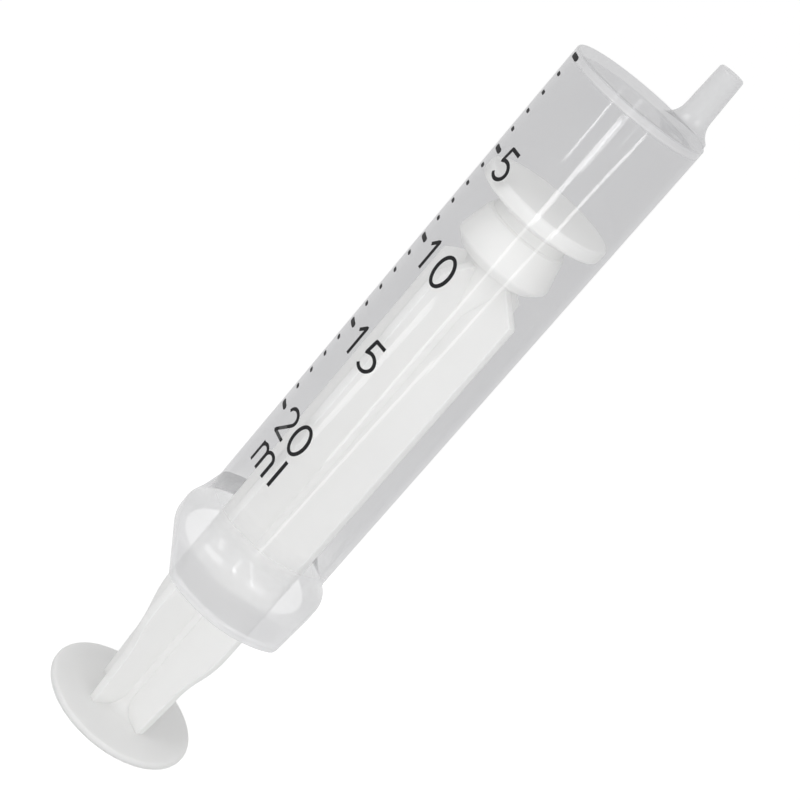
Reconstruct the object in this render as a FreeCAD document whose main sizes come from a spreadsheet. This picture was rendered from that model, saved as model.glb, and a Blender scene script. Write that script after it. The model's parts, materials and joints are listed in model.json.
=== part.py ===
import FreeCAD, Part
import math
import os
import Sketcher

# A two-piece 20 ml syringe with an off-centre luer slip nozzle.  It stands on its thumb disc with
# +Z along its axis, and the origin is the centre of the disc's underside.  The long way of the
# finger flange lies along Y and the nozzle is set off towards +X, on the flange's short side.
#
# The barrel is one moulding: a thin tube, closed by a flat end wall with the nozzle on it, and a
# finger flange round the open end.  The plunger is the other one: a thumb disc, a rod of four
# fins, and a head whose rim seals against the bore, as in a syringe with no rubber stopper.

os.makedirs("parts", exist_ok=True)
doc = FreeCAD.newDocument("syringe")

# Driving sizes in millimetres, millilitres or degrees
SIZES = {
    # Tube: a bore of 20.05 mm holds 1 ml in each 3.167 mm
    "bore_radius": 10.025,
    "tube_wall": 0.85,
    "bore_length": 87.6,
    "end_wall": 1.2,
    "front_edge_chamfer": 0.35,
    "bore_corner_chamfer": 0.5,
    "mouth_chamfer": 0.5,
    # Ring in the bore that keeps the head from being pulled out
    "bead_from_mouth": 6.5,
    "bead_rise": 0.15,
    "bead_length": 1.6,
    # Finger flange: a boat-shaped plate whose sides draw in towards both ends
    "flange_half_width": 13.0,
    "flange_half_length": 21.9,
    "flange_side_angle": 12.0,
    "flange_side_radius": 20.0,
    "flange_end_radius": 13.0,
    "flange_corner_radius": 2.8,
    "flange_plate": 1.4,
    "flange_cove": 4.5,
    "flange_edge_radius": 0.5,
    # Nozzle: a luer cone, which gains 6 % of its length in diameter
    "nozzle_offset": 7.0,
    "nozzle_length": 10.0,
    "nozzle_tip_radius": 1.965,
    "nozzle_half_taper": 0.03,
    "nozzle_cove": 3.2,
    "nozzle_tip_chamfer": 0.35,
    "nozzle_bore_radius": 1.05,
    # Thumb disc
    "disc_radius": 12.35,
    "disc_thickness": 1.2,
    "disc_edge_chamfer": 0.4,
    # Rod of four fins round a thin core, narrower where the fingers and the thumb meet
    "fin_thickness": 1.4,
    "fin_clearance": 1.0,
    "fin_foot_radius": 6.3,
    "fin_waist_radius": 6.9,
    "waist_height": 8.5,
    "shoulder_height": 21.5,
    "fin_turn": 45.0,
    "core_radius": 1.6,
    "core_foot_slope": 2.4,
    "rod_length": 87.0,
    "rod_top_slope": 3.0,
    # Head: notch, stabilising lobe, neck and sealing rim, from the rod upwards.  The lobe is a cone,
    # widest near its lower end
    "notch_radius": 4.4,
    "notch_length": 0.9,
    "lobe_radius": 7.6,
    "lobe_top_radius": 6.4,
    "lobe_length": 6.4,
    "lobe_bevel": 1.4,
    "neck_radius": 5.9,
    "neck_length": 1.7,
    "rim_clearance": 0.04,
    "rim_underside_rise": 1.2,
    "rim_land": 1.2,
    "rim_bevel": 0.5,
    "crown_rise": 0.5,
    # Volume shown where the plunger stands: the rim's front edge is this far from the end wall
    "drawn_length": 17.6,
}

# How far a cutting outline runs past what it cuts
OVERSHOOT = 1.0
# Lengths nearer than this count as equal
SAME = 0.01

sheet = doc.addObject("Spreadsheet::Sheet", "Sizes")
for row, (alias, number) in enumerate(SIZES.items(), start=1):
    sheet.set("A%d" % row, alias)
    sheet.set("B%d" % row, str(number))
    sheet.setAlias("B%d" % row, alias)
doc.recompute()


class Size:
    """A length that knows its value and the sheet's formula for it."""

    def __init__(self, value, formula):
        self.value = value
        self.formula = formula

    def __add__(self, other):
        other = size(other)
        return Size(self.value + other.value, "(%s + %s)" % (self.formula, other.formula))

    def __sub__(self, other):
        other = size(other)
        return Size(self.value - other.value, "(%s - %s)" % (self.formula, other.formula))

    def __mul__(self, other):
        other = size(other)
        return Size(self.value * other.value, "(%s * %s)" % (self.formula, other.formula))

    def __truediv__(self, other):
        other = size(other)
        return Size(self.value / other.value, "(%s / %s)" % (self.formula, other.formula))

    def __neg__(self):
        return Size(-self.value, "(-1 * %s)" % self.formula)


def size(what):
    """A Size from an alias of the sheet, a plain number or a Size."""
    if isinstance(what, Size):
        return what
    if isinstance(what, str):
        return Size(float(sheet.get(what)), "Sizes.%s" % what)
    return Size(float(what), repr(float(what)))


def sine(angle):
    return Size(math.sin(math.radians(angle.value)), "sin(%s)" % angle.formula)


def cosine(angle):
    return Size(math.cos(math.radians(angle.value)), "cos(%s)" % angle.formula)


def root(square):
    return Size(math.sqrt(square.value), "sqrt(%s)" % square.formula)


def new_body(name):
    body = doc.addObject("PartDesign::Body", name)
    body.Label = name
    return body


def origin_plane(body, role):
    return [item for item in body.Origin.OriginFeatures if item.Role == role][0]


def new_sketch(body, name, role):
    sketch = body.newObject("Sketcher::SketchObject", name)
    sketch.AttachmentSupport = [(origin_plane(body, role), "")]
    sketch.MapMode = "FlatFace"
    return sketch


def pin_distance(sketch, kind, geometry, corner, length):
    """Hold one corner at a distance from the sketch's origin that follows the sheet."""
    if abs(length.value) < 1e-9:
        line = -2 if kind == "DistanceX" else -1
        sketch.addConstraint(Sketcher.Constraint("PointOnObject", geometry, corner, line))
        return
    index = sketch.addConstraint(Sketcher.Constraint(kind, -1, 1, geometry, corner, length.value))
    sketch.setExpression("Constraints[%d]" % index, length.formula)


def arc_between(start, end, radius, bulge_right):
    """The short arc from start to end that bulges to the right or the left of that way."""
    chord = end - start
    middle = (start + end) * 0.5
    sag = math.sqrt(max(radius * radius - chord.Length * chord.Length / 4.0, 0.0))
    side = FreeCAD.Vector(-chord.y, chord.x, 0)
    side.normalize()
    centre = middle + side * (sag if bulge_right else -sag)
    # Both ways round give a counter-clockwise arc, so the order of its ends follows the bulge
    first, last = (start, end) if bulge_right else (end, start)
    from_angle = math.atan2(first.y - centre.y, first.x - centre.x)
    to_angle = math.atan2(last.y - centre.y, last.x - centre.x)
    circle = Part.Circle(centre, FreeCAD.Vector(0, 0, 1), radius)
    return Part.ArcOfCircle(circle, from_angle, to_angle)


def closed_outline(sketch, corners):
    """Draw a closed outline and tie every corner and radius of it to the sheet.

    A corner is (x, y) for a straight side to the next corner, or (x, y, radius) for an arc to it.
    A positive radius bulges to the right of the way round and a negative one to the left.
    """
    places = [FreeCAD.Vector(size(item[0]).value, size(item[1]).value, 0) for item in corners]
    edges = []
    for number, item in enumerate(corners):
        start = places[number]
        end = places[(number + 1) % len(corners)]
        if len(item) == 2:
            edges.append((sketch.addGeometry(Part.LineSegment(start, end), False), 1, 2))
            continue
        radius = size(item[2])
        outward = radius.value > 0
        arc = arc_between(start, end, abs(radius.value), outward)
        index = sketch.addGeometry(arc, False)
        edges.append((index, 1, 2) if outward else (index, 2, 1))
    for number, (index, begin, finish) in enumerate(edges):
        following, next_begin, next_finish = edges[(number + 1) % len(edges)]
        sketch.addConstraint(Sketcher.Constraint("Coincident", index, finish, following, next_begin))
    for number, item in enumerate(corners):
        index, begin, finish = edges[number]
        pin_distance(sketch, "DistanceX", index, begin, size(item[0]))
        pin_distance(sketch, "DistanceY", index, begin, size(item[1]))
        if len(item) == 3:
            radius = size(item[2])
            bend = radius if radius.value > 0 else -radius
            constraint = Sketcher.Constraint("Radius", index, bend.value)
            sketch.setExpression("Constraints[%d]" % sketch.addConstraint(constraint), bend.formula)


def add_circle(sketch, radius):
    """A circle about the sketch's origin."""
    origin = FreeCAD.Vector(0, 0, 0)
    index = sketch.addGeometry(Part.Circle(origin, FreeCAD.Vector(0, 0, 1), radius.value), False)
    sketch.addConstraint(Sketcher.Constraint("Coincident", index, 3, -1, 1))
    constraint = sketch.addConstraint(Sketcher.Constraint("Radius", index, radius.value))
    sketch.setExpression("Constraints[%d]" % constraint, radius.formula)


def revolve(body, kind, name, corners, offset=None):
    """Revolve a half section, given as radius and height, about the vertical line of its sketch."""
    sketch = new_sketch(body, name + "_section", "XZ_Plane")
    closed_outline(sketch, corners)
    if offset is not None:
        sketch.setExpression(".AttachmentOffset.Base.x", offset.formula)
    feature = body.newObject("PartDesign::" + kind, name)
    feature.Profile = sketch
    feature.ReferenceAxis = (sketch, ["V_Axis"])
    feature.Angle = 360
    doc.recompute()
    return feature


def cut_upwards(body, name, sketch, height, start):
    """Cut a sketched region from one height upwards."""
    sketch.setExpression(".AttachmentOffset.Base.z", start.formula)
    feature = body.newObject("PartDesign::Pocket", name)
    feature.Profile = sketch
    feature.Reversed = True
    feature.setExpression("Length", height.formula)
    before = feature.BaseFeature.Shape.Volume
    doc.recompute()
    if not feature.Shape.Volume < before - 1e-3:
        raise RuntimeError(name + " cuts nothing")
    return feature


def round_edges(body, name, base, edges, radius):
    feature = body.newObject("PartDesign::Fillet", name)
    feature.Base = (base, edges)
    feature.setExpression("Radius", radius.formula)
    doc.recompute()
    return feature


# Heights of the plunger, from the underside of the thumb disc
disc_top = size("disc_thickness")
rod_top = size("rod_length")
notch_low = rod_top + "rod_top_slope"
lobe_low = notch_low + "notch_length"
lobe_top = lobe_low + "lobe_length"
neck_top = lobe_top + "neck_length"
rim_low = neck_top + "rim_underside_rise"
land_low = rim_low + "rim_bevel"
land_top = land_low + "rim_land"
rim_top = land_top + "rim_bevel"
crown_top = rim_top + "crown_rise"

# Heights of the barrel, from the underside of its flange
outer_radius = size("bore_radius") + "tube_wall"
end_inside = size("bore_length")
end_face = end_inside + "end_wall"
plate_top = size("flange_plate")
cove_top = plate_top + "flange_cove"


def flange_corners():
    """Corners of the flange's outline, anticlockwise from the right-hand side's rounding."""
    angle = size("flange_side_angle")
    lean, rise = sine(angle), cosine(angle)
    half_width = size("flange_half_width")
    # Rounding where the two straight sides meet beside the tube
    setback = size("flange_side_radius") * lean / rise
    side_x = half_width - setback * lean
    side_y = setback * rise
    # Rounding between a straight side and the end arc: its centre lies on both shifted inwards
    small = size("flange_corner_radius")
    large = size("flange_end_radius")
    arc_y = size("flange_half_length") - large
    reach = half_width * rise - small - arc_y * lean
    gap = large - small
    along = root(gap * gap - reach * reach)
    centre_x = reach * rise - along * lean
    centre_y = arc_y + reach * lean + along * rise
    line_x = centre_x + small * rise
    line_y = centre_y + small * lean
    end_x = centre_x * large / gap
    end_y = arc_y + (centre_y - arc_y) * large / gap
    side = size("flange_side_radius")
    return [
        (side_x, -side_y, side), (side_x, side_y),
        (line_x, line_y, small), (end_x, end_y, large),
        (-end_x, end_y, small), (-line_x, line_y),
        (-side_x, side_y, side), (-side_x, -side_y),
        (-line_x, -line_y, small), (-end_x, -end_y, large),
        (end_x, -end_y, small), (line_x, -line_y),
    ]


def rim_edges(shape):
    """Names of the edges that run round the flange, leaving out its upright corners.

    What lies on the tube or on a circle about it, such as the border of the cove, is no rim.
    """
    names = []
    for number, item in enumerate(shape.Edges, start=1):
        ends_and_middle = item.discretize(3)
        reaches = [math.hypot(point.x, point.y) for point in ends_and_middle]
        upright = item.Length - abs(ends_and_middle[-1].z - ends_and_middle[0].z) < SAME
        round_about = max(reaches) - min(reaches) < SAME
        if not upright and not round_about and min(reaches) > outer_radius.value:
            names.append("Edge%d" % number)
    return names


def make_barrel():
    body = new_body("barrel")
    edge = size("front_edge_chamfer")
    cove = size("flange_cove")
    blank_radius = size("flange_half_length") + OVERSHOOT
    # Outside of the tube, with the plate as a round blank and the cove between them
    blank = revolve(body, "Revolution", "barrel_blank", [
        (0, 0), (blank_radius, 0), (blank_radius, plate_top),
        (outer_radius + cove, plate_top, -cove), (outer_radius, cove_top),
        (outer_radius, end_face - edge), (outer_radius - edge, end_face), (0, end_face),
    ])
    # Everything outside the boat shape is taken off the blank
    trim = new_sketch(body, "flange_outline", "XY_Plane")
    add_circle(trim, blank_radius + OVERSHOOT)
    closed_outline(trim, flange_corners())
    flange = cut_upwards(body, "flange_trim", trim, cove_top, size(0))
    # Rim of the flange, rounded under and above: every edge of its upright side but the corners
    round_edges(body, "flange_rim", flange, rim_edges(flange.Shape), size("flange_edge_radius"))
    # Bore, with its bevelled corner, its retaining bead and the chamfer at its mouth
    bore = size("bore_radius")
    corner = size("bore_corner_chamfer")
    chamfer = size("mouth_chamfer")
    bead = size("bead_from_mouth")
    half_bead = size("bead_length") / 2
    rise = size("bead_rise")
    revolve(body, "Groove", "bore", [
        (0, -OVERSHOOT), (bore + chamfer + OVERSHOOT, -OVERSHOOT), (bore, chamfer),
        (bore, bead - half_bead), (bore - rise, bead), (bore, bead + half_bead),
        (bore, end_inside - corner), (bore - corner, end_inside), (0, end_inside),
    ])
    # Nozzle on its own line, rooted in the end wall that carries it
    nozzle_cove = size("nozzle_cove")
    tip = end_face + "nozzle_length"
    tip_edge = size("nozzle_tip_chamfer")
    taper = size("nozzle_half_taper")
    tip_radius = size("nozzle_tip_radius")
    root_radius = tip_radius + (size("nozzle_length") - nozzle_cove) * taper
    sunk = end_face - edge
    revolve(body, "Revolution", "nozzle", [
        (0, sunk), (root_radius, sunk), (root_radius, end_face),
        (root_radius + nozzle_cove, end_face, -nozzle_cove), (root_radius, end_face + nozzle_cove),
        (tip_radius + tip_edge * taper, tip - tip_edge),
        (tip_radius - tip_edge, tip), (0, tip),
    ], size("nozzle_offset"))
    # The cove under the nozzle stops at the bevelled edge of the end wall
    ring = new_sketch(body, "nozzle_foot_ring", "XY_Plane")
    add_circle(ring, outer_radius + nozzle_cove + OVERSHOOT)
    add_circle(ring, outer_radius - edge)
    cut_upwards(body, "nozzle_foot_trim", ring, nozzle_cove + OVERSHOOT, end_face)
    # Way for the liquid, from the bore to the tip
    way = size("nozzle_bore_radius")
    revolve(body, "Groove", "liquid_way", [
        (0, end_inside - OVERSHOOT), (way, end_inside - OVERSHOOT),
        (way, tip + OVERSHOOT), (0, tip + OVERSHOOT),
    ], size("nozzle_offset"))
    # The barrel stands where the plunger's rim leaves the drawn length in front of it
    body.setExpression(".Placement.Base.z", (rim_top + "drawn_length" - end_inside).formula)
    return body


def make_plunger():
    body = new_body("plunger")
    disc_radius = size("disc_radius")
    edge = size("disc_edge_chamfer")
    core = size("core_radius")
    foot = size("core_foot_slope")
    revolve(body, "Revolution", "thumb_disc", [
        (0, 0), (disc_radius - edge, 0), (disc_radius, edge),
        (disc_radius, disc_top - edge), (disc_radius - edge, disc_top),
        (core + foot, disc_top), (core, disc_top + foot), (core, rod_top), (0, rod_top),
    ])
    # One fin, from the axis outwards, then three more round it
    fin_radius = size("bore_radius") - "fin_clearance"
    waist = size("fin_waist_radius")
    waist_z = size("waist_height")
    shoulder_z = size("shoulder_height")
    middle_radius = (fin_radius + waist) / 2
    middle_z = (waist_z + shoulder_z) / 2
    half_step = (fin_radius - waist) / 2
    half_climb = (shoulder_z - waist_z) / 2
    swing = (half_step * half_step + half_climb * half_climb) / (half_step * 2)
    notch = size("notch_radius")
    outline = new_sketch(body, "fin_outline", "XZ_Plane")
    closed_outline(outline, [
        (0, disc_top / 2), (size("fin_foot_radius"), disc_top / 2), (waist, waist_z, -swing),
        (middle_radius, middle_z, swing), (fin_radius, shoulder_z), (fin_radius, rod_top),
        (notch, notch_low), (0, notch_low),
    ])
    fin = body.newObject("PartDesign::Pad", "fin")
    fin.Profile = outline
    fin.Midplane = True
    fin.setExpression("Length", size("fin_thickness").formula)
    doc.recompute()
    fins = body.newObject("PartDesign::PolarPattern", "fins")
    fins.Originals = [fin]
    fins.Axis = (outline, ["V_Axis"])
    fins.Angle = 360
    fins.Occurrences = 4
    body.Tip = fins
    doc.recompute()
    # Head: a cone out of the core, the notch, the lobe, the neck and the rim with its low crown
    lobe = size("lobe_radius")
    lobe_bevel = size("lobe_bevel")
    neck = size("neck_radius")
    rim = size("bore_radius") - "rim_clearance"
    crown_radius = rim - "rim_bevel"
    revolve(body, "Revolution", "head", [
        (0, rod_top - notch), (core / 2, rod_top - notch), (notch, notch_low),
        (notch, lobe_low), (lobe - lobe_bevel, lobe_low), (lobe, lobe_low + lobe_bevel),
        (size("lobe_top_radius"), lobe_top), (neck, lobe_top), (neck, neck_top),
        (crown_radius, rim_low), (rim, land_low), (rim, land_top),
        (crown_radius, rim_top), (0, crown_top),
    ])
    body.setExpression(".Placement.Rotation.Angle", size("fin_turn").formula)
    return body


bodies = [make_barrel(), make_plunger()]
doc.recompute()

for item in doc.Objects:
    if "Invalid" in item.State or "Error" in item.State:
        raise RuntimeError("%s failed: %s" % (item.Name, item.State))
for body in bodies:
    shape = body.Shape
    if shape.isNull() or not shape.isValid() or len(shape.Solids) != 1:
        raise RuntimeError("%s has no single valid solid" % body.Label)
for body in bodies:
    body.Shape.exportStep("parts/%s.step" % body.Label)
    box = body.Shape.optimalBoundingBox()
    print("%s: volume %.1f mm3, z %.2f to %.2f, x %.2f to %.2f, y %.2f to %.2f" % (
        body.Label, body.Shape.Volume, box.ZMin, box.ZMax, box.XMin, box.XMax, box.YMin, box.YMax))
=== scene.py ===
import json
import math

import bpy
from mathutils import Matrix, Vector


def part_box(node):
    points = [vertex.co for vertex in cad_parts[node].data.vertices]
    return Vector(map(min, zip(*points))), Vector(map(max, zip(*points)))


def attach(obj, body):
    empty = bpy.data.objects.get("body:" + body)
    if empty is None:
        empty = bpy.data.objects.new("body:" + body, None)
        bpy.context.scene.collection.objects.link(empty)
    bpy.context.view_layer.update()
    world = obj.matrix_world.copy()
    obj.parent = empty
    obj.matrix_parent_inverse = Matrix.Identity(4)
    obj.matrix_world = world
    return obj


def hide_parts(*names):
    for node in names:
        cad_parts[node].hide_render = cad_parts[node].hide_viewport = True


# A two-piece 20 ml syringe: a clear barrel with a printed scale and an off-centre slip nozzle, and
# a milky plunger that shows through it.  Sizes are millimetres until a point is placed, in metres.
# Angles round the axis are degrees from -Y towards +X.

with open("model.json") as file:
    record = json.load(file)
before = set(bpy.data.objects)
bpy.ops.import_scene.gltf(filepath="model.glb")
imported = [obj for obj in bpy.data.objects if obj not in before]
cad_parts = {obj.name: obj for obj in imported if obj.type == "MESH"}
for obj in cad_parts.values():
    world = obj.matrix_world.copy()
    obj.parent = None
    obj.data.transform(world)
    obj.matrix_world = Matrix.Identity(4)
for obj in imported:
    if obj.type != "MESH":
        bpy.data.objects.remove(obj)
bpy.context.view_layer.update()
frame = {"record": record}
MM = 0.001

# The photograph's camera stands in this direction.  The scale and the lamps are placed from it too.
CAMERA_TURN = -7.5


def cad_mm(node):
    """Lowest and highest corner of a node of the frame, in millimetres."""
    return [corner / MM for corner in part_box(node)]


def mount(name):
    """A mount of the frame's record, by its name."""
    return next(item for item in frame["record"]["mounts"] if item["name"] == name)


# Barrel: what the frame gives, and the wall sizes of the moulding
BARREL_LOW, BARREL_HIGH = cad_mm("barrel")
FLANGE_Z = BARREL_LOW.z
TIP_Z = BARREL_HIGH.z
TUBE_RADIUS = mount("barrel_outside")["dims"]["r_mm"]
NOZZLE_X = mount("luer_cone")["pos_m"][0] / MM
TIP_RADIUS = mount("luer_cone")["dims"]["r_mm"]
NOZZLE_LENGTH = 10.0
NOZZLE_HALF_TAPER = 0.03
NOZZLE_COVE = 3.2
NOZZLE_TIP_ROUND = 0.45
LIQUID_WAY_RADIUS = 1.05
BORE_RADIUS = 10.025
END_WALL = 1.2
END_ROUND = 0.35
BORE_CORNER = 0.55
MOUTH_CHAMFER = 0.5
BEAD_FROM_MOUTH = 6.5
BEAD_RISE = 0.15
BEAD_LENGTH = 1.6
FACE_Z = TIP_Z - NOZZLE_LENGTH
BORE_END_Z = FACE_Z - END_WALL

# Finger flange: straight sides that lean in from the middle, and an arc at each end
FLANGE_HALF_WIDTH = 13.0
FLANGE_HALF_LENGTH = BARREL_HIGH.y
FLANGE_LEAN = math.radians(12.0)
FLANGE_SIDE_RADIUS = 20.0
FLANGE_END_RADIUS = 13.0
FLANGE_CORNER_RADIUS = 2.8
FLANGE_PLATE = 1.4
FLANGE_COVE = 4.5
FLANGE_ROUND = 0.5

# Plunger: disc, rod of four fins, head.  The crown is given by shares of the rim's radius and how
# far each lies below the top.
DISC_RADIUS = cad_mm("plunger")[1].x
DISC_THICKNESS = 1.2
DISC_ROUND = 0.5
CORE_RADIUS = 1.6
CORE_FOOT_COVE = 2.6
FIN_THICKNESS = 1.4
FIN_ROUND = 0.18
FIN_RADIUS = 9.025
FIN_FOOT_RADIUS = 6.3
FIN_WAIST_RADIUS = 6.9
WAIST_Z = 8.5
SHOULDER_Z = 21.5
ROD_TOP_Z = 87.0
NOTCH_LOW_Z = 90.0
NOTCH_RADIUS = 4.4
LOBE_LOW_Z = 90.9
LOBE_BEVEL = 1.4
LOBE_ROUND = 0.6
LOBE_ROUND_RISE = 0.2
LOBE_RADIUS = 7.6
LOBE_TOP_RADIUS = 6.4
LOBE_TOP_Z = 97.3
LOBE_DOME = 0.3
NECK_RADIUS = 5.9
NECK_TOP_Z = 99.0
RIM_LOW_Z = 100.2
RIM_BEVEL = 0.5
RIM_RADIUS = 9.985
RIM_TOP_Z = 102.4
CROWN_TOP_Z = cad_mm("plunger")[1].z
CROWN = [(0.6, 0.14), (0.3, 0.03), (0.0, 0.0)]

# Scale: 1 ml of the bore is 3.167 mm, counted down from the 0 ml mark just under the bore's end
ML = 3.167
ZERO_Z = 119.7
FULL_SCALE = 20
NUMBERED = (5, 10, 15, 20)
UNIT_Z = ZERO_Z - 69.15

# Print: all marks begin at one angle, and those with a number are longer and wider.  A number is
# centred on its level and a mark stands a little above it.  The marks' ends narrow to a share of
# their width.
MARK_START = CAMERA_TURN - 75
LONG_MARK_END = CAMERA_TURN - 61
SHORT_MARK_END = CAMERA_TURN - 68
LONG_MARK_WIDTH = 0.80
SHORT_MARK_WIDTH = 0.58
MARK_RISE = 0.45
BLUNT_END = 0.3
NUMBER_START = CAMERA_TURN - 54
UNIT_START = NUMBER_START + 0.4
NUMBER_HEIGHT = 4.62
NUMBER_STROKE = 0.56
INK_THICKNESS = 0.03
INK_GAP = 0.008

# How finely the shapes are cut up, and the small lengths that keep cuts and joins clean
SPOKES = 192
NOZZLE_SPOKES = 96
WAY_SPOKES = 64
ARC_STEPS = 6
TOP_RINGS = 26
BEAD_STEPS = 3
FIN_ROUND_STEPS = 3
MARK_STEPS = 20
CREASE_DEGREES = 32.0
FIN_CREASE_DEGREES = 40.0
TOUCH = 0.01
OVERRUN = 1.0
WELD_METRES = 1e-6


def only(piece):
    """Make one object the selected and active one, in object mode."""
    bpy.ops.object.select_all(action="DESELECT")
    piece.select_set(True)
    bpy.context.view_layer.objects.active = piece


def arc(centre, radius, start, end, steps=ARC_STEPS):
    """Points of an arc in a section, from one angle to another in degrees, both ends included."""
    points = []
    for step in range(steps + 1):
        angle = math.radians(start + (end - start) * step / steps)
        points.append((centre[0] + radius * math.cos(angle), centre[1] + radius * math.sin(angle)))
    return points


def draw_line(name, places):
    """A wire drawn from point to point by extruding one vertex, left in edit mode."""
    bpy.ops.object.select_all(action="DESELECT")
    bpy.ops.mesh.primitive_plane_add(size=MM, location=(0, 0, 0))
    piece = bpy.context.object
    piece.name = name
    piece.data.name = name
    bpy.ops.object.mode_set(mode="EDIT")
    bpy.ops.mesh.select_all(action="SELECT")
    bpy.ops.mesh.merge(type="CENTER")
    last = Vector((0, 0, 0))
    for number, place in enumerate(places):
        place = Vector(place) * MM
        if number == 0:
            bpy.ops.transform.translate(value=place)
        else:
            bpy.ops.mesh.extrude_region_move(TRANSFORM_OT_translate={"value": place - last})
        last = place
    return piece


def lathe(name, section, x=0.0, spokes=SPOKES):
    """A solid turned about a vertical line at x: the section runs from the axis back to the axis."""
    piece = draw_line(name, [(x + radius, 0, z) for radius, z in section])
    bpy.ops.mesh.select_all(action="SELECT")
    bpy.ops.mesh.spin(steps=spokes, angle=math.tau, center=(x * MM, 0, 0), axis=(0, 0, 1))
    bpy.ops.mesh.select_all(action="SELECT")
    bpy.ops.mesh.remove_doubles(threshold=WELD_METRES)
    bpy.ops.mesh.normals_make_consistent(inside=False)
    bpy.ops.object.mode_set(mode="OBJECT")
    return piece


def bar(radius, low, high):
    """Section of a plain round bar, from one height to another."""
    return [(0, low), (radius, low), (radius, high), (0, high)]


def combine(piece, other, operation):
    """Join, cut or keep what two solids share, and delete the second."""
    only(piece)
    modifier = piece.modifiers.new(operation.lower(), "BOOLEAN")
    modifier.operation = operation
    modifier.object = other
    modifier.solver = "EXACT"
    bpy.ops.object.modifier_apply(modifier=modifier.name)
    bpy.data.objects.remove(other)


def smooth(piece):
    """Smooth shading that keeps creases, with flat faces left flat."""
    only(piece)
    bpy.ops.object.shade_smooth_by_angle(angle=math.radians(CREASE_DEGREES))
    modifier = piece.modifiers.new("flat_faces", "WEIGHTED_NORMAL")
    modifier.keep_sharp = True
    bpy.ops.object.modifier_apply(modifier=modifier.name)


def flange_outline():
    """Quarter of the flange's outline, from the middle of a side to the middle of an end."""
    lean, rise = math.sin(FLANGE_LEAN), math.cos(FLANGE_LEAN)
    side = FLANGE_SIDE_RADIUS
    setback = side * lean / rise
    side_x = FLANGE_HALF_WIDTH - setback * lean
    side_y = setback * rise
    arc_y = FLANGE_HALF_LENGTH - FLANGE_END_RADIUS
    reach = FLANGE_HALF_WIDTH * rise - FLANGE_CORNER_RADIUS - arc_y * lean
    gap = FLANGE_END_RADIUS - FLANGE_CORNER_RADIUS
    along = math.sqrt(gap * gap - reach * reach)
    corner = (reach * rise - along * lean, arc_y + reach * lean + along * rise)
    lean_degrees = math.degrees(FLANGE_LEAN)
    meet = math.degrees(math.atan2(corner[1] - arc_y, corner[0]))
    return (
        arc((side_x - side * rise, side_y - side * lean), side, 0, lean_degrees)
        + arc(corner, FLANGE_CORNER_RADIUS, lean_degrees, meet)
        + arc((0, arc_y), FLANGE_END_RADIUS, meet, 90, 4 * ARC_STEPS)
    )


OUTLINE = flange_outline()


def flange_reach(angle):
    """Distance from the axis to the flange's outline in one direction."""
    ray = Vector((abs(math.cos(angle)), abs(math.sin(angle))))
    least = 1e-9
    for (x1, y1), (x2, y2) in zip(OUTLINE, OUTLINE[1:]):
        before = ray.x * y1 - ray.y * x1
        after = ray.x * y2 - ray.y * x2
        if before <= least and after >= -least and after - before > least:
            share = -before / (after - before)
            return math.hypot(x1 + (x2 - x1) * share, y1 + (y2 - y1) * share)
    return FLANGE_HALF_LENGTH


def flange_section(reach):
    """The flange's section from the tube's cove to the underside, where its rim is at a reach.

    The cove runs into the plate where the flange is long enough, and straight into the rim's
    rounding beside the tube, where it isn't.  Every such section has the same number of points.
    """
    cove_x = TUBE_RADIUS + FLANGE_COVE
    cove_z = FLANGE_Z + FLANGE_PLATE + FLANGE_COVE
    rim_x = reach - FLANGE_ROUND
    inset = max(cove_x - rim_x, 0.0)
    meet = math.acos(inset / (FLANGE_COVE + FLANGE_ROUND))
    rim_z = cove_z - (FLANGE_COVE + FLANGE_ROUND) * math.sin(meet)
    foot_x = cove_x - FLANGE_COVE * math.cos(meet)
    foot_z = cove_z - FLANGE_COVE * math.sin(meet)
    cove_run = FLANGE_COVE * meet
    plate_run = max(rim_x - cove_x, 0.0)
    points = []
    for ring in range(1, TOP_RINGS + 1):
        run = (cove_run + plate_run) * ring / TOP_RINGS
        if run < cove_run:
            angle = math.pi + run / FLANGE_COVE
            points.append((cove_x + FLANGE_COVE * math.cos(angle), cove_z + FLANGE_COVE * math.sin(angle)))
        else:
            points.append((foot_x + run - cove_run, foot_z))
    points += arc((rim_x, rim_z), FLANGE_ROUND, math.degrees(meet), 0)[1:]
    points += arc((rim_x, FLANGE_Z + FLANGE_ROUND), FLANGE_ROUND, 0, -90)
    return points


def barrel_section():
    """The barrel's section, over the outside and back through the bore."""
    bead_z = FLANGE_Z + BEAD_FROM_MOUTH
    bead = []
    for step in range(-BEAD_STEPS, BEAD_STEPS + 1):
        swell = BEAD_RISE * math.cos(math.pi * step / (2 * BEAD_STEPS))
        bead.append((BORE_RADIUS - swell, bead_z + BEAD_LENGTH / 2 * step / BEAD_STEPS))
    return (
        [(0, FACE_Z)]
        + arc((TUBE_RADIUS - END_ROUND, FACE_Z - END_ROUND), END_ROUND, 90, 0)
        + [(TUBE_RADIUS, FLANGE_Z + FLANGE_PLATE + FLANGE_COVE)]
        + flange_section(FLANGE_HALF_LENGTH)
        + [(BORE_RADIUS + MOUTH_CHAMFER, FLANGE_Z), (BORE_RADIUS, FLANGE_Z + MOUTH_CHAMFER)]
        + bead
        + arc((BORE_RADIUS - BORE_CORNER, BORE_END_Z - BORE_CORNER), BORE_CORNER, 0, 90)
        + [(0, BORE_END_Z)]
    )


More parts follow.
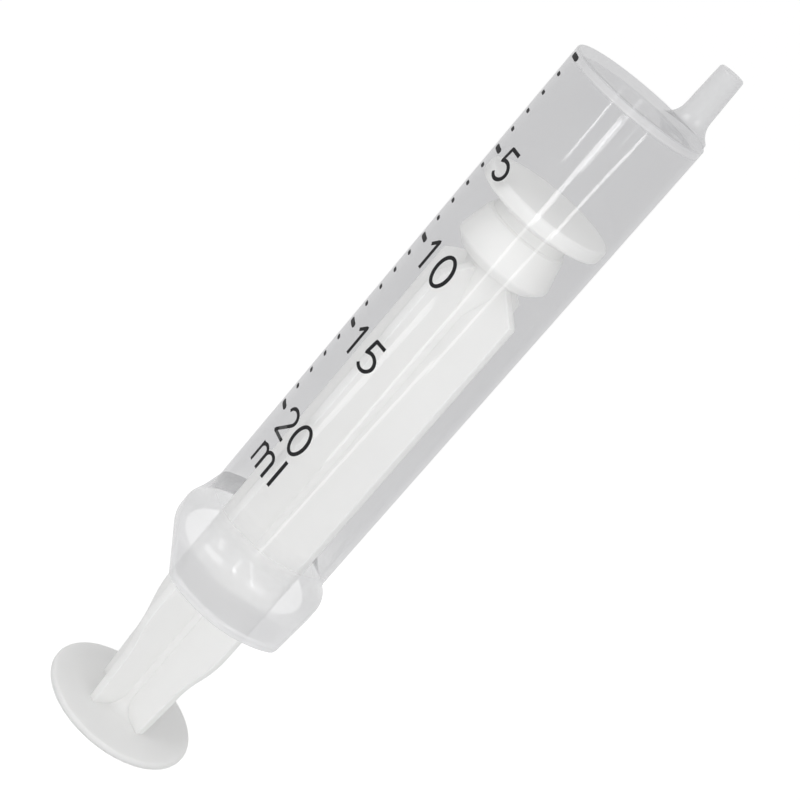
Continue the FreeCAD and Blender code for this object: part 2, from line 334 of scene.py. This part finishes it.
def draw_in_flange(barrel):
    """Pull the turned blank's round flange in to its boat shape, spoke by spoke."""
    blank = flange_section(FLANGE_HALF_LENGTH)
    sections = {}
    for vertex in barrel.data.vertices:
        x, y, z = vertex.co / MM
        radius = math.hypot(x, y)
        misses = [math.hypot(blank_radius - radius, blank_z - z) for blank_radius, blank_z in blank]
        nearest = misses.index(min(misses))
        if misses[nearest] > TOUCH:
            continue
        angle = math.atan2(y, x)
        spoke = round(angle * SPOKES / math.tau)
        if spoke not in sections:
            sections[spoke] = flange_section(flange_reach(angle))
        radius, z = sections[spoke][nearest]
        vertex.co = Vector((radius * math.cos(angle), radius * math.sin(angle), z)) * MM


def make_nozzle():
    """The nozzle with the cove at its foot, which the tube's edge cuts off."""
    sunk = FACE_Z - END_WALL / 2
    foot_radius = TIP_RADIUS + (NOZZLE_LENGTH - NOZZLE_COVE) * NOZZLE_HALF_TAPER
    cove_x = foot_radius + NOZZLE_COVE
    cove_z = FACE_Z - TOUCH + NOZZLE_COVE
    nozzle = lathe("nozzle", (
        [(0, sunk), (cove_x, sunk)]
        + arc((cove_x, cove_z), NOZZLE_COVE, 270, 180, 2 * ARC_STEPS)
        + arc((TIP_RADIUS - NOZZLE_TIP_ROUND, TIP_Z - NOZZLE_TIP_ROUND), NOZZLE_TIP_ROUND, 0, 90)
        + [(0, TIP_Z)]
    ), NOZZLE_X, NOZZLE_SPOKES)
    edge = TUBE_RADIUS - END_ROUND - TOUCH
    combine(nozzle, lathe("foot_limit", bar(edge, sunk - OVERRUN, TIP_Z + OVERRUN)), "INTERSECT")
    return nozzle


def make_barrel():
    """The barrel: a turned blank with its flange drawn in, the nozzle and the liquid's way."""
    barrel = lathe("barrel_moulding", barrel_section())
    draw_in_flange(barrel)
    combine(barrel, make_nozzle(), "UNION")
    way = bar(LIQUID_WAY_RADIUS, BORE_END_Z - OVERRUN, TIP_Z + OVERRUN)
    combine(barrel, lathe("way", way, NOZZLE_X, WAY_SPOKES), "DIFFERENCE")
    smooth(barrel)
    return barrel


def fin_outline():
    """Half outline of a pair of fins, from the thumb disc up to the notch under the lobe."""
    step = (FIN_RADIUS - FIN_WAIST_RADIUS) / 2
    climb = (SHOULDER_Z - WAIST_Z) / 2
    swing = (step * step + climb * climb) / (2 * step)
    turn = math.degrees(math.asin(climb / swing))
    inside_notch = 0.1
    return (
        [(FIN_FOOT_RADIUS, DISC_THICKNESS / 2)]
        + arc((FIN_WAIST_RADIUS + swing, WAIST_Z), swing, 180, 180 - turn)
        + arc((FIN_RADIUS - swing, SHOULDER_Z), swing, -turn, 0)[1:]
        + [(FIN_RADIUS, ROD_TOP_Z), (NOTCH_RADIUS - inside_notch, NOTCH_LOW_Z)]
    )


def make_fin_pair(name, degrees):
    """Two fins in one flat plate through the axis, with the mould's small rounding on its edges."""
    half = fin_outline()
    places = [(x, -FIN_THICKNESS / 2, z) for x, z in half]
    places += [(-x, -FIN_THICKNESS / 2, z) for x, z in reversed(half)]
    piece = draw_line(name, places)
    bpy.ops.mesh.select_all(action="SELECT")
    bpy.ops.mesh.edge_face_add()
    bpy.ops.mesh.extrude_region_move(TRANSFORM_OT_translate={"value": (0, FIN_THICKNESS * MM, 0)})
    bpy.ops.mesh.select_all(action="SELECT")
    bpy.ops.mesh.normals_make_consistent(inside=False)
    bpy.ops.transform.rotate(value=math.radians(degrees), orient_axis="Z", center_override=(0, 0, 0))
    bpy.ops.object.mode_set(mode="OBJECT")
    only(piece)
    modifier = piece.modifiers.new("mould_round", "BEVEL")
    modifier.width = FIN_ROUND * MM
    modifier.segments = FIN_ROUND_STEPS
    modifier.limit_method = "ANGLE"
    modifier.angle_limit = math.radians(FIN_CREASE_DEGREES)
    bpy.ops.object.modifier_apply(modifier=modifier.name)
    return piece


def plunger_section():
    """The plunger's section without its fins, from the underside of the disc up to the crown."""
    disc_x = DISC_RADIUS - DISC_ROUND
    disc = arc((disc_x, DISC_ROUND), DISC_ROUND, -90, 0)
    disc += arc((disc_x, DISC_THICKNESS - DISC_ROUND), DISC_ROUND, 0, 90)
    cove = (CORE_RADIUS + CORE_FOOT_COVE, DISC_THICKNESS + CORE_FOOT_COVE)
    core = arc(cove, CORE_FOOT_COVE, 270, 180) + [(CORE_RADIUS, ROD_TOP_Z - NOTCH_RADIUS)]
    notch = [(NOTCH_RADIUS, NOTCH_LOW_Z), (NOTCH_RADIUS, LOBE_LOW_Z)]
    lobe_round = (LOBE_RADIUS - LOBE_ROUND, LOBE_LOW_Z + LOBE_BEVEL + LOBE_ROUND_RISE)
    lobe = [(LOBE_RADIUS - LOBE_BEVEL, LOBE_LOW_Z)] + arc(lobe_round, LOBE_ROUND, -45, 10, 3)
    lobe += [(LOBE_TOP_RADIUS, LOBE_TOP_Z)]
    neck = [(NECK_RADIUS, LOBE_TOP_Z + LOBE_DOME), (NECK_RADIUS, NECK_TOP_Z)]
    rim_x = RIM_RADIUS - RIM_BEVEL
    rim = arc((rim_x, RIM_LOW_Z + RIM_BEVEL), RIM_BEVEL, -70, 0, 4)
    rim += arc((rim_x, RIM_TOP_Z - RIM_BEVEL), RIM_BEVEL, 0, 85, 4)
    crown = [(RIM_RADIUS * share, CROWN_TOP_Z - drop) for share, drop in CROWN]
    return [(0, 0)] + disc + core + notch + lobe + neck + rim + crown


def make_plunger():
    """The plunger: a turned core with its disc and head, and two crossed pairs of fins."""
    plunger = lathe("plunger_moulding", plunger_section())
    combine(plunger, make_fin_pair("fins_one", 45), "UNION")
    combine(plunger, make_fin_pair("fins_two", -45), "UNION")
    smooth(plunger)
    return plunger


def oval(centre_x, half_width, steps):
    """A closed stroke as tall as the figures' box, with its first point repeated at the end."""
    circle = arc((centre_x, 0.5), half_width, 90, 450, steps)
    return [(x, 0.5 + (y - 0.5) * 0.5 / half_width) for x, y in circle]


# Width and strokes of the figures, in a box as tall as 1: a line of points for each stroke
FIGURES = {
    "0": (0.62, [oval(0.31, 0.28, 36)]),
    "1": (0.62, [[(0.06, 0.74), (0.32, 1.0), (0.32, 0.0)]]),
    "2": (0.62, [arc((0.30, 0.72), 0.27, 170, -35, 14) + [(0.03, 0.0), (0.60, 0.0)]]),
    "5": (0.62, [[(0.54, 1.0), (0.14, 1.0), (0.09, 0.53)] + arc((0.30, 0.33), 0.29, 118, -140, 18)]),
    "m": (0.98, [[(0.04, 0.0), (0.04, 0.76)],
                 [(0.04, 0.53)] + arc((0.245, 0.55), 0.205, 165, 0, 10) + [(0.45, 0.0)],
                 [(0.45, 0.53)] + arc((0.655, 0.55), 0.205, 165, 0, 10) + [(0.86, 0.0)]]),
    "l": (0.16, [[(0.08, 0.0), (0.08, 1.0)]]),
}
FIGURE_GAP = 0.17
CORNER_STEP = 0.02
LONG_RUN = 8 * CORNER_STEP


def onto_tube(piece, angle, z):
    """Lay a flat piece on the tube: its x runs round the tube and its y runs along it."""
    heights = [vertex.co.z for vertex in piece.data.vertices]
    low, high = min(heights), max(heights)
    for vertex in piece.data.vertices:
        turn = math.radians(angle) + vertex.co.x / (TUBE_RADIUS * MM)
        level = (vertex.co.z - low) / (high - low)
        radius = (TUBE_RADIUS + INK_GAP + INK_THICKNESS * level) * MM
        vertex.co = Vector((radius * math.sin(turn), -radius * math.cos(turn), vertex.co.y + z * MM))


def cornered(points):
    """A stroke's points with one more close to each end of its long runs, which keeps corners wide."""
    places = []
    for (x1, y1), (x2, y2) in zip(points, points[1:]):
        length = math.hypot(x2 - x1, y2 - y1)
        places.append((x1, y1))
        if length > LONG_RUN:
            for share in (CORNER_STEP / length, 1 - CORNER_STEP / length):
                places.append((x1 + (x2 - x1) * share, y1 + (y2 - y1) * share))
    return places + [points[-1]]


def make_figure(text, angle, z):
    """A number drawn with one even stroke, its left edge at an angle and its middle at a height."""
    curve = bpy.data.curves.new("figure", "CURVE")
    curve.dimensions = "3D"
    curve.bevel_depth = NUMBER_STROKE * MM / 2
    curve.bevel_resolution = 2
    curve.use_fill_caps = True
    pen = 0.0
    for letter in text:
        width, strokes = FIGURES[letter]
        for points in strokes:
            stroke = curve.splines.new("POLY")
            closed = math.dist(points[0], points[-1]) < CORNER_STEP
            stroke.use_cyclic_u = closed
            points = points[:-1] if closed else cornered(points)
            stroke.points.add(len(points) - 1)
            for knot, (x, y) in zip(stroke.points, points):
                knot.co = (*Vector((pen + x, y - 0.5, 0)) * NUMBER_HEIGHT * MM, 1)
        pen += width + FIGURE_GAP
    piece = bpy.data.objects.new("figure", curve)
    bpy.context.scene.collection.objects.link(piece)
    only(piece)
    bpy.ops.object.convert(target="MESH")
    onto_tube(bpy.context.object, angle, z)
    return bpy.context.object


def make_mark(z, start, end, width):
    """A scale mark: a thin dash with round ends that runs round the tube from one angle to another."""
    length = math.radians(end - start) * TUBE_RADIUS
    bpy.ops.object.select_all(action="DESELECT")
    bpy.ops.mesh.primitive_grid_add(x_subdivisions=MARK_STEPS, y_subdivisions=1, size=1)
    piece = bpy.context.object
    bpy.ops.object.mode_set(mode="EDIT")
    bpy.ops.mesh.select_all(action="SELECT")
    bpy.ops.transform.resize(value=(length * MM, width * MM, 1))
    bpy.ops.mesh.extrude_region_move(TRANSFORM_OT_translate={"value": (0, 0, INK_THICKNESS * MM)})
    bpy.ops.mesh.select_all(action="SELECT")
    bpy.ops.mesh.normals_make_consistent(inside=False)
    bpy.ops.object.mode_set(mode="OBJECT")
    for vertex in piece.data.vertices:
        past = max(abs(vertex.co.x) / MM - (length - width) / 2, 0.0) / (width / 2)
        vertex.co.y *= max(math.sqrt(max(1 - past * past, 0.0)), BLUNT_END)
    onto_tube(piece, (start + end) / 2, z)
    return piece


def join(pieces, name):
    """One object made of several, under a new name."""
    only(pieces[0])
    for piece in pieces:
        piece.select_set(True)
    bpy.ops.object.join()
    joined = bpy.context.object
    joined.name = name
    joined.data.name = name
    return joined


def make_scale():
    """The printed scale: a mark for each millilitre, a number at each fifth one, and the unit."""
    marks = []
    for ml in range(FULL_SCALE + 1):
        z = ZERO_Z - ML * ml + MARK_RISE
        if ml % 5 == 0:
            marks.append(make_mark(z, MARK_START, LONG_MARK_END, LONG_MARK_WIDTH))
        else:
            marks.append(make_mark(z, MARK_START, SHORT_MARK_END, SHORT_MARK_WIDTH))
    figures = [make_figure(str(ml), NUMBER_START, ZERO_Z - ML * ml) for ml in NUMBERED]
    figures.append(make_figure("ml", UNIT_START, UNIT_Z))
    scale = join(marks + figures, "scale_print")
    smooth(scale)
    return scale


def linear(code):
    """Linear colour of an sRGB hex value."""
    parts = [int(code[i:i + 2], 16) / 255 for i in (1, 3, 5)]
    return [part / 12.92 if part <= 0.04045 else ((part + 0.055) / 1.055) ** 2.4 for part in parts] + [1.0]


def new_material(name):
    """An empty node material and its node tree."""
    material = bpy.data.materials.new(name)
    material.use_nodes = True
    material.node_tree.nodes.clear()
    return material, material.node_tree


def add(tree, kind, settings=None, links=None, values=None):
    """A node with its settings, the values of its inputs and the links into them."""
    node = tree.nodes.new(kind)
    for key, value in (settings or {}).items():
        setattr(node, key, value)
    for key, value in (values or {}).items():
        node.inputs[key].default_value = value
    for key, source in (links or {}).items():
        tree.links.new(source, node.inputs[key])
    return node


def surface_noise(tree, size_mm, stretch=(1, 1, 1), detail=3.0):
    """Noise on object coordinates whose grain has a size in millimetres."""
    place = add(tree, "ShaderNodeTexCoord")
    mapped = add(tree, "ShaderNodeMapping", links={"Vector": place.outputs["Object"]},
                 values={"Scale": stretch})
    return add(tree, "ShaderNodeTexNoise", links={"Vector": mapped.outputs["Vector"]},
               values={"Scale": 1 / (size_mm * MM), "Detail": detail})


def ramp_along(tree, stops):
    """A value that changes with height on the object, from stops of height in millimetres and value."""
    low, high = stops[0][0], stops[-1][0]
    place = add(tree, "ShaderNodeTexCoord")
    height = add(tree, "ShaderNodeSeparateXYZ", links={"Vector": place.outputs["Object"]})
    share = add(tree, "ShaderNodeMapRange", links={"Value": height.outputs["Z"]},
                values={"From Min": low * MM, "From Max": high * MM})
    ramp = add(tree, "ShaderNodeValToRGB", links={"Fac": share.outputs["Result"]})
    points = ramp.color_ramp.elements
    while len(points) < len(stops):
        points.new(1.0)
    for point, (z, value) in zip(points, stops):
        point.position = (z - low) / (high - low)
        point.color = (value, value, value, 1)
    return ramp.outputs["Color"]


# Share of light that the clear skin mirrors head on, as at IOR 1.49, and what a grazing look adds
# by a power of the slope.  Milk seen from inside the wall is a share of that seen from outside.
HEAD_ON = 0.04
GRAZING = 0.3
GRAZING_POWER = 5.0
INNER_MILK = 0.4


def clear_polypropylene(name, near, far, near_milk, far_milk):
    """Moulded clear polypropylene: a greyish film that is milky where the moulding is thick.

    The near colour tints a ray that enters the wall.  The two far colours, clouded together, tint a
    ray that leaves it, and near_milk and far_milk say by height how milky it looks in each case.
    On the outside the far colours take more light, so the plunger stays bright and the empty tube
    grey.  The wall is thin, so what is behind it shows sharp and unbent.  The skin sinks a little,
    so its long highlights waver.  Light to and from matt surfaces passes the wall nearly whole.
    """
    material, tree = new_material(name)
    side = add(tree, "ShaderNodeNewGeometry")
    front = add(tree, "ShaderNodeMath", {"operation": "SUBTRACT"},
                {1: side.outputs["Backfacing"]}, {0: 1.0})
    thick_side = add(tree, "ShaderNodeMix", {"data_type": "FLOAT"}, {
        "Factor": side.outputs["Backfacing"],
        "A": ramp_along(tree, near_milk),
        "B": ramp_along(tree, far_milk)})
    thick = thick_side.outputs["Result"]
    seen_milk = add(tree, "ShaderNodeMapRange", links={"Value": front.outputs[0]},
                    values={"To Min": INNER_MILK})
    milk_share = add(tree, "ShaderNodeMath", {"operation": "MULTIPLY"},
                     {0: thick, 1: seen_milk.outputs["Result"]})

    cloud = surface_noise(tree, size_mm=16.0, detail=1.0)
    far_film = add(tree, "ShaderNodeMix", {"data_type": "RGBA"}, {"Factor": cloud.outputs["Fac"]},
                   {"A": linear(far[0]), "B": linear(far[1])})
    film = add(tree, "ShaderNodeMix", {"data_type": "RGBA"},
               {"Factor": side.outputs["Backfacing"], "B": far_film.outputs["Result"]}, {"A": linear(near)})
    deep = add(tree, "ShaderNodeMix", {"data_type": "RGBA"}, {"Factor": side.outputs["Backfacing"]},
               {"A": linear("#CECECF"), "B": linear("#E2E2E3")})
    deep_film = add(tree, "ShaderNodeMix", {"data_type": "RGBA"},
                    {"Factor": thick, "A": film.outputs["Result"], "B": deep.outputs["Result"]})
    through = add(tree, "ShaderNodeBsdfTransparent", links={"Color": deep_film.outputs["Result"]})
    milk = add(tree, "ShaderNodeBsdfPrincipled", values={
        "Base Color": linear("#F0F0F1"), "Roughness": 0.4, "IOR": 1.49})
    body = add(tree, "ShaderNodeMixShader", links={
        "Fac": milk_share.outputs[0], 1: through.outputs["BSDF"], 2: milk.outputs["BSDF"]})

    sink = surface_noise(tree, size_mm=5.0, stretch=(1, 1, 0.25), detail=1.0)
    bump = add(tree, "ShaderNodeBump", links={"Height": sink.outputs["Fac"]},
               values={"Strength": 0.5, "Distance": 0.00012})
    slope = add(tree, "ShaderNodeLayerWeight", links={"Normal": bump.outputs["Normal"]},
                values={"Blend": 0.5})
    grazing = add(tree, "ShaderNodeMath", {"operation": "POWER"}, {0: slope.outputs["Facing"]},
                  {1: GRAZING_POWER})
    mirrored = add(tree, "ShaderNodeMath", {"operation": "MULTIPLY_ADD"}, {0: grazing.outputs[0]},
                   {1: GRAZING, 2: HEAD_ON})
    shine = add(tree, "ShaderNodeMath", {"operation": "MULTIPLY"},
                {0: mirrored.outputs[0], 1: front.outputs[0]})
    gloss = add(tree, "ShaderNodeBsdfGlossy", links={"Normal": bump.outputs["Normal"]},
                values={"Color": (1, 1, 1, 1), "Roughness": 0.08})
    skin = add(tree, "ShaderNodeMixShader", links={
        "Fac": shine.outputs[0], 1: body.outputs["Shader"], 2: gloss.outputs["BSDF"]})

    path = add(tree, "ShaderNodeLightPath")
    lit = add(tree, "ShaderNodeMath", {"operation": "MAXIMUM"},
              {0: path.outputs["Is Shadow Ray"], 1: path.outputs["Is Diffuse Ray"]})
    open_way = add(tree, "ShaderNodeBsdfTransparent", values={"Color": linear("#FCFCFC")})
    wall = add(tree, "ShaderNodeMixShader", links={
        "Fac": lit.outputs[0], 1: skin.outputs["Shader"], 2: open_way.outputs["BSDF"]})
    add(tree, "ShaderNodeOutputMaterial", links={"Surface": wall.outputs["Shader"]})
    return material


# How milky the moulding looks, by height: flange with its cove and the tube's first millimetres,
# end wall, nozzle.  The tube is clear, and the end wall shows as a pale band from outside only.
CLEAR = 0.02
FLANGE_MILK = [
    (FLANGE_Z, 0.80),
    (FLANGE_Z + FLANGE_PLATE, 0.54),
    (FLANGE_Z + 5.5, 0.46),
    (FLANGE_Z + 11.0, CLEAR),
]
END_WALL_MILK = [
    (BORE_END_Z - 0.3, CLEAR),
    (BORE_END_Z, 0.60),
    (FACE_Z - 0.2, 0.60),
    (FACE_Z - 0.02, CLEAR),
]
NOZZLE_MILK = [
    (FACE_Z + 0.2, 0.10),
    (FACE_Z + 2.5, 0.45),
    (TIP_Z, 0.45),
]
NEAR_MILK = FLANGE_MILK + END_WALL_MILK + NOZZLE_MILK
FAR_MILK = FLANGE_MILK + [(FACE_Z - 0.02, CLEAR)] + NOZZLE_MILK
NO_MILK = [(FLANGE_Z, 0.0), (TIP_Z, 0.0)]


def dress(piece, *materials):
    """Give a piece its materials, and no others."""
    piece.data.materials.clear()
    for material in materials:
        piece.data.materials.append(material)


def dress_barrel(barrel):
    """Three looks of one plastic, so that what shows through several skins isn't darkened by each.

    The outside carries the wall's whole tint.  The bore and the liquid's way carry almost none, and
    the flange's plate and rim and the ceiling of the bore carry little.
    """
    dress(
        barrel,
        clear_polypropylene(
            "moulded_clear_polypropylene", "#FEFEFE", ("#C2C2C4", "#CBCBCC"), NEAR_MILK, FAR_MILK),
        clear_polypropylene(
            "clear_polypropylene_bore", "#FEFEFE", ("#FDFDFD", "#FFFFFF"), NO_MILK, NO_MILK),
        clear_polypropylene(
            "clear_polypropylene_base", "#FAFAFB", ("#EEEEEF", "#F4F4F4"), NEAR_MILK, FAR_MILK),
    )
    outside, bore, base = range(3)
    slack = 0.05
    for face in barrel.data.polygons:
        x, y, z = face.center / MM
        in_bore = math.hypot(x, y) < BORE_RADIUS + MOUTH_CHAMFER and z < BORE_END_Z + slack
        in_way = math.hypot(x - NOZZLE_X, y) < LIQUID_WAY_RADIUS + slack
        in_ceiling = in_bore and z > BORE_END_Z - slack
        in_plate = z < FLANGE_Z + FLANGE_PLATE + slack and not in_bore
        if in_ceiling or in_plate:
            face.material_index = base
        elif in_bore or in_way:
            face.material_index = bore
        else:
            face.material_index = outside


def milky_polyethylene():
    """Moulded natural polyethylene: milky white and satin, with light carried under the skin.

    Its grain is drawn coarser than the mould's own, so that it shows at all.
    """
    material, tree = new_material("moulded_milky_polyethylene")
    grain = surface_noise(tree, size_mm=0.35)
    cloud = surface_noise(tree, size_mm=14.0, detail=2.0)
    tone = add(tree, "ShaderNodeMix", {"data_type": "RGBA"}, {"Factor": cloud.outputs["Fac"]},
               {"A": linear("#F2F2F1"), "B": linear("#F7F7F6")})
    satin = add(tree, "ShaderNodeMapRange", links={"Value": grain.outputs["Fac"]},
                values={"To Min": 0.40, "To Max": 0.52})
    bump = add(tree, "ShaderNodeBump", links={"Height": grain.outputs["Fac"]},
               values={"Strength": 0.15, "Distance": 0.00002})
    plastic = add(tree, "ShaderNodeBsdfPrincipled", links={
        "Base Color": tone.outputs["Result"], "Roughness": satin.outputs["Result"],
        "Normal": bump.outputs["Normal"]}, values={
        "IOR": 1.51, "Subsurface Weight": 0.7, "Subsurface Radius": (1.0, 1.0, 1.0),
        "Subsurface Scale": 0.003})
    add(tree, "ShaderNodeOutputMaterial", links={"Surface": plastic.outputs["BSDF"]})
    return material


def scale_ink():
    """Black pad-printing ink: a dull film that is a little thin in places."""
    material, tree = new_material("pad_printed_black_ink")
    thin = surface_noise(tree, size_mm=0.5)
    tone = add(tree, "ShaderNodeMix", {"data_type": "RGBA"}, {"Factor": thin.outputs["Fac"]},
               {"A": linear("#08080A"), "B": linear("#19191C")})
    film = add(tree, "ShaderNodeBsdfPrincipled", links={"Base Color": tone.outputs["Result"]},
               values={"Roughness": 0.6, "IOR": 1.5, "Specular IOR Level": 0.25})
    add(tree, "ShaderNodeOutputMaterial", links={"Surface": film.outputs["BSDF"]})
    return material


# The white ground: its strength as a light, the width of its floor in metres, and what the floor
# gives off for the eye, so that it looks as white as the rest
GROUND_LIGHT = 0.605
FLOOR_SIZE_METRES = 6.0
FLOOR_GLOW = 0.465


def shown_ray(tree):
    """1 for rays that show the background: the camera's, reflected and refracted ones."""
    path = add(tree, "ShaderNodeLightPath")
    seen = add(tree, "ShaderNodeMath", {"operation": "MAXIMUM"},
               {0: path.outputs["Is Camera Ray"], 1: path.outputs["Is Glossy Ray"]})
    return add(tree, "ShaderNodeMath", {"operation": "MAXIMUM"},
               {0: seen.outputs[0], 1: path.outputs["Is Transmission Ray"]}).outputs[0]


def make_studio():
    """A white world and a pale floor that the eye can't tell from it, which both light softly."""
    world = bpy.data.worlds.new("studio")
    bpy.context.scene.world = world
    world.use_nodes = True
    tree = world.node_tree
    tree.nodes.clear()
    level = add(tree, "ShaderNodeMapRange", links={"Value": shown_ray(tree)},
                values={"To Min": GROUND_LIGHT, "To Max": 1.0})
    sky = add(tree, "ShaderNodeBackground", links={"Strength": level.outputs["Result"]},
              values={"Color": (1, 1, 1, 1)})
    add(tree, "ShaderNodeOutputWorld", links={"Surface": sky.outputs["Background"]})

    material, tree = new_material("pale_floor")
    paper = add(tree, "ShaderNodeBsdfDiffuse", values={"Color": linear("#F2F2F2")})
    lift = add(tree, "ShaderNodeMath", {"operation": "MULTIPLY"}, {0: shown_ray(tree)}, {1: FLOOR_GLOW})
    glow = add(tree, "ShaderNodeEmission", links={"Strength": lift.outputs[0]})
    both = add(tree, "ShaderNodeAddShader", links={0: paper.outputs["BSDF"], 1: glow.outputs["Emission"]})
    add(tree, "ShaderNodeOutputMaterial", links={"Surface": both.outputs["Shader"]})
    bpy.ops.object.select_all(action="DESELECT")
    bpy.ops.mesh.primitive_plane_add(size=FLOOR_SIZE_METRES, location=(0, 0, 0))
    floor = bpy.context.object
    floor.name = "floor"
    dress(floor, material)


def add_lamp(name, place, target, width, length, power, roll=0.0):
    """A soft rectangular lamp that points from one place at another, both in millimetres."""
    data = bpy.data.lights.new(name, "AREA")
    data.shape = "RECTANGLE"
    data.size = width * MM
    data.size_y = length * MM
    data.energy = power
    lamp = bpy.data.objects.new(name, data)
    bpy.context.scene.collection.objects.link(lamp)
    way = (Vector(target) - Vector(place)).normalized()
    turn = way.to_track_quat("-Z", "Y").to_matrix().to_4x4()
    turn = turn @ Matrix.Rotation(math.radians(roll), 4, "Z")
    lamp.matrix_world = Matrix.Translation(Vector(place) * MM) @ turn
    lamp.visible_camera = False
    lamp.visible_transmission = False


def beside_camera(turn, distance, z):
    """A place at a turn to the right of the camera's direction from the axis."""
    angle = math.radians(CAMERA_TURN + turn)
    return (distance * math.sin(angle), -distance * math.cos(angle), z)


# Softboxes: name, turn from the camera's direction, distance from the axis, height, height on the
# axis that is aimed at, width, length and power in watts
SOFTBOXES = [
    ("left", -45, 160, 215, 85, 110, 90, 0.07),
    ("right", 40, 180, 190, 60, 110, 90, 0.05),
]

# Strips that the tube mirrors as long streaks, all at one distance from the axis: name, turn from
# the camera's direction, height of the middle, width, length, lean in degrees and power in watts
STRIPS = [
    ("middle_high", -2.0, 97, 9.0, 22, 0, 0.0044),
    ("middle_low", -3.5, 57, 5.5, 57, 0, 0.0030),
    ("right_high", 32.0, 97, 5.0, 24, -20, 0.0026),
    ("right_mid", 24.0, 70, 5.0, 34, -14, 0.0016),
    ("right_low", 13.0, 29, 5.0, 54, -16, 0.0027),
    ("left_high", -25.5, 103, 2.5, 12, 0, 0.0005),
    ("left_wide", -37.0, 46, 12.0, 36, -14, 0.0036),
]
STRIP_DISTANCE = 80


def make_lamps():
    """Soft light from both sides of the camera, and the strips that draw the tube's streaks."""
    for name, turn, distance, z, aim_z, width, length, power in SOFTBOXES:
        place = beside_camera(turn, distance, z)
        add_lamp("softbox_" + name, place, (0, 0, aim_z), width, length, power)
    for name, turn, z, width, length, lean, power in STRIPS:
        place = beside_camera(turn, STRIP_DISTANCE, z)
        add_lamp("strip_" + name, place, (0, 0, z), width, length, power, lean)


# The photograph's camera, measured about the 0 ml mark: a long lens that looks down on a tilted picture
CAMERA_DISTANCE = 273.3
CAMERA_ELEVATION = 18.597
CAMERA_ROLL = 40.661
AIM_Z = ZERO_Z - 48.4
LENS = 87.78
SENSOR_WIDTH = 36.0
SHIFT = (-0.01076, -0.0382)
CLIP_START_METRES = 0.01


def make_camera():
    data = bpy.data.cameras.new("camera")
    data.lens = LENS
    data.sensor_width = SENSOR_WIDTH
    data.shift_x, data.shift_y = SHIFT
    data.clip_start = CLIP_START_METRES
    camera = bpy.data.objects.new("camera", data)
    bpy.context.scene.collection.objects.link(camera)
    climb = math.radians(CAMERA_ELEVATION)
    across = CAMERA_DISTANCE * math.cos(climb)
    place = Vector(beside_camera(0, across, AIM_Z + CAMERA_DISTANCE * math.sin(climb))) * MM
    way = Vector((0, 0, AIM_Z * MM)) - place
    turn = way.to_track_quat("-Z", "Y").to_matrix().to_4x4()
    roll = Matrix.Rotation(math.radians(CAMERA_ROLL), 4, "Z")
    camera.matrix_world = Matrix.Translation(place) @ turn @ roll
    bpy.context.scene.camera = camera


barrel = make_barrel()
plunger = make_plunger()
scale = make_scale()

dress_barrel(barrel)
dress(plunger, milky_polyethylene())
dress(scale, scale_ink())

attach(barrel, "barrel")
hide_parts("barrel")
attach(plunger, "plunger")
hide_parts("plunger")
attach(scale, "barrel")

make_studio()
make_lamps()
make_camera()
bpy.context.scene.view_settings.view_transform = "Standard"
